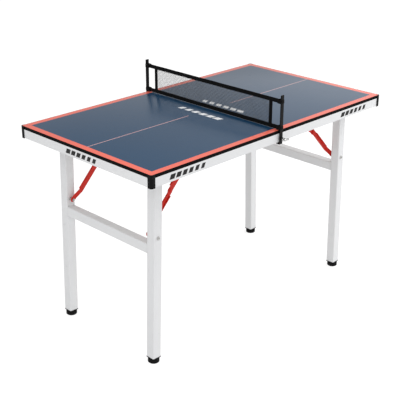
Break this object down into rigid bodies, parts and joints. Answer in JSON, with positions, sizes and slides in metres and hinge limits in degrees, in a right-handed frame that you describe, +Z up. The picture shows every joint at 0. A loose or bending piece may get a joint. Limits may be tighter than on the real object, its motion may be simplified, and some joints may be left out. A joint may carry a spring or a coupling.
{
  "type": "folding ping pong table",
  "caption": "Small folding ping pong table: slate blue board with painted lines, light grey aprons, two hinged leg frames with red folding stays, levelling feet and a clamp-on net.",
  "frame": {"origin": "on the floor under the centre of the board", "axes": "+X along the table, +Y across it along the net, +Z up"},
  "size_m": [1.225, 0.752, 0.887],
  "materials": {
    "board_lacquer": "satin slate blue lacquer with painted lines",
    "black_edge": "black edge band",
    "light_grey_paint": "light grey powder coat",
    "black_plastic": "moulded satin black",
    "black_rubber": "matt black",
    "zinc_steel": "zinc plated",
    "red_paint": "bright red gloss paint",
    "black_paint": "black powder coat",
    "bright_screw": "bright plated",
    "net_cord": "knotted dark cord",
    "black_tape": "woven black tape"
  },
  "bodies": {
    "table": {"tabletop_board": "board_lacquer", "edge_band": "black_edge", "apron_front": "light_grey_paint", "apron_rear": "light_grey_paint", "apron_left": "light_grey_paint", "apron_right": "light_grey_paint", "apron_screws": "zinc_steel", "bracket_screws": "zinc_steel", "corner_protector_left_front": "black_plastic", "corner_protector_left_rear": "black_plastic", "corner_protector_right_front": "black_plastic", "corner_protector_right_rear": "black_plastic", "leg_bracket_left_front": "light_grey_paint", "leg_bracket_left_rear": "light_grey_paint", "leg_bracket_right_front": "light_grey_paint", "leg_bracket_right_rear": "light_grey_paint", "leg_pivot_bolts_left": "zinc_steel", "leg_pivot_bolts_right": "zinc_steel", "stay_bracket_left_front": "red_paint", "stay_bracket_left_rear": "red_paint", "stay_bracket_right_front": "red_paint", "stay_bracket_right_rear": "red_paint", "stay_top_pins_left": "zinc_steel", "stay_top_pins_right": "zinc_steel", "net_post_front": "black_paint", "net_post_rear": "black_paint", "net_mesh": "net_cord", "net_top_tape": "black_tape", "net_bottom_tape": "black_tape", "net_end_bands": "black_tape"},
    "left_leg_frame": {"leg_left_front": "light_grey_paint", "leg_left_rear": "light_grey_paint", "crossbar_left": "light_grey_paint", "stay_bolts_left": "zinc_steel", "foot_plugs_left": "black_plastic"},
    "left_front_stay_lower": {"stay_lower_left_front": "red_paint"},
    "left_front_stay_upper": {"stay_upper_left_front": "red_paint", "knee_rivet_left_front": "zinc_steel"},
    "left_rear_stay_lower": {"stay_lower_left_rear": "red_paint"},
    "left_rear_stay_upper": {"stay_upper_left_rear": "red_paint", "knee_rivet_left_rear": "zinc_steel"},
    "right_leg_frame": {"leg_right_front": "light_grey_paint", "leg_right_rear": "light_grey_paint", "crossbar_right": "light_grey_paint", "stay_bolts_right": "zinc_steel", "foot_plugs_right": "black_plastic"},
    "right_front_stay_lower": {"stay_lower_right_front": "red_paint"},
    "right_front_stay_upper": {"stay_upper_right_front": "red_paint", "knee_rivet_right_front": "zinc_steel"},
    "right_rear_stay_lower": {"stay_lower_right_rear": "red_paint"},
    "right_rear_stay_upper": {"stay_upper_right_rear": "red_paint", "knee_rivet_right_rear": "zinc_steel"},
    "left_front_foot": {"levelling_foot_left_front": "black_rubber"},
    "left_rear_foot": {"levelling_foot_left_rear": "black_rubber"},
    "right_front_foot": {"levelling_foot_right_front": "black_rubber"},
    "right_rear_foot": {"levelling_foot_right_rear": "black_rubber"},
    "front_clamp_screw": {"clamp_screw_front": "bright_screw"},
    "rear_clamp_screw": {"clamp_screw_rear": "bright_screw"}
  },
  "joints": [
    {"name": "left_frame_fold", "type": "hinge", "parent": "table", "child": "left_leg_frame", "pos_m": [-0.498, 0, 0.708], "axis": [0, -1, 0], "range_deg": [0, 86.6]},
    {"name": "left_front_stay_lower_turn", "type": "hinge", "parent": "left_leg_frame", "child": "left_front_stay_lower", "pos_m": [-0.5051, -0.2044, 0.48211], "axis": [0, -1, 0], "range_deg": [0, 40.94]},
    {"name": "left_front_stay_upper_turn", "type": "hinge", "parent": "table", "child": "left_front_stay_upper", "pos_m": [-0.28924, -0.1906, 0.708], "axis": [0, 1, 0], "range_deg": [0, 45.24]},
    {"name": "left_rear_stay_lower_turn", "type": "hinge", "parent": "left_leg_frame", "child": "left_rear_stay_lower", "pos_m": [-0.5051, 0.2044, 0.48211], "axis": [0, -1, 0], "range_deg": [0, 40.94]},
    {"name": "left_rear_stay_upper_turn", "type": "hinge", "parent": "table", "child": "left_rear_stay_upper", "pos_m": [-0.28924, 0.1906, 0.708], "axis": [0, 1, 0], "range_deg": [0, 45.24]},
    {"name": "right_frame_fold", "type": "hinge", "parent": "table", "child": "right_leg_frame", "pos_m": [0.498, 0, 0.727], "axis": [0, 1, 0], "range_deg": [0, 91.8]},
    {"name": "right_front_stay_lower_turn", "type": "hinge", "parent": "right_leg_frame", "child": "right_front_stay_lower", "pos_m": [0.5051, -0.2044, 0.50111], "axis": [0, 1, 0], "range_deg": [0, 41.91]},
    {"name": "right_front_stay_upper_turn", "type": "hinge", "parent": "table", "child": "right_front_stay_upper", "pos_m": [0.28924, -0.1906, 0.727], "axis": [0, -1, 0], "range_deg": [0, 46.31]},
    {"name": "right_rear_stay_lower_turn", "type": "hinge", "parent": "right_leg_frame", "child": "right_rear_stay_lower", "pos_m": [0.5051, 0.2044, 0.50111], "axis": [0, 1, 0], "range_deg": [0, 41.91]},
    {"name": "right_rear_stay_upper_turn", "type": "hinge", "parent": "table", "child": "right_rear_stay_upper", "pos_m": [0.28924, 0.1906, 0.727], "axis": [0, -1, 0], "range_deg": [0, 46.31]},
    {"name": "left_front_foot_screw", "type": "slide", "parent": "left_leg_frame", "child": "left_front_foot", "axis": [-0.0314, 0, -0.9995], "range_m": [0, 0.01]},
    {"name": "left_rear_foot_screw", "type": "slide", "parent": "left_leg_frame", "child": "left_rear_foot", "axis": [-0.0314, 0, -0.9995], "range_m": [0, 0.01]},
    {"name": "right_front_foot_screw", "type": "slide", "parent": "right_leg_frame", "child": "right_front_foot", "axis": [0.0314, 0, -0.9995], "range_m": [0, 0.01]},
    {"name": "right_rear_foot_screw", "type": "slide", "parent": "right_leg_frame", "child": "right_rear_foot", "axis": [0.0314, 0, -0.9995], "range_m": [0, 0.01]},
    {"name": "front_clamp_screw_travel", "type": "slide", "parent": "table", "child": "front_clamp_screw", "axis": [0, -1, 0], "range_m": [0, 0.006]},
    {"name": "rear_clamp_screw_travel", "type": "slide", "parent": "table", "child": "rear_clamp_screw", "axis": [0, 1, 0], "range_m": [0, 0.006]}
  ],
  "couplings": [
    {"joint": "left_front_stay_lower_turn", "follows": "left_frame_fold", "ratio": 0.47259},
    {"joint": "left_front_stay_upper_turn", "follows": "left_frame_fold", "ratio": 0.52228},
    {"joint": "left_rear_stay_lower_turn", "follows": "left_frame_fold", "ratio": 0.47259},
    {"joint": "left_rear_stay_upper_turn", "follows": "left_frame_fold", "ratio": 0.52228},
    {"joint": "right_front_stay_lower_turn", "follows": "right_frame_fold", "ratio": 0.45643},
    {"joint": "right_front_stay_upper_turn", "follows": "right_frame_fold", "ratio": 0.50436},
    {"joint": "right_rear_stay_lower_turn", "follows": "right_frame_fold", "ratio": 0.45643},
    {"joint": "right_rear_stay_upper_turn", "follows": "right_frame_fold", "ratio": 0.50436}
  ]
}
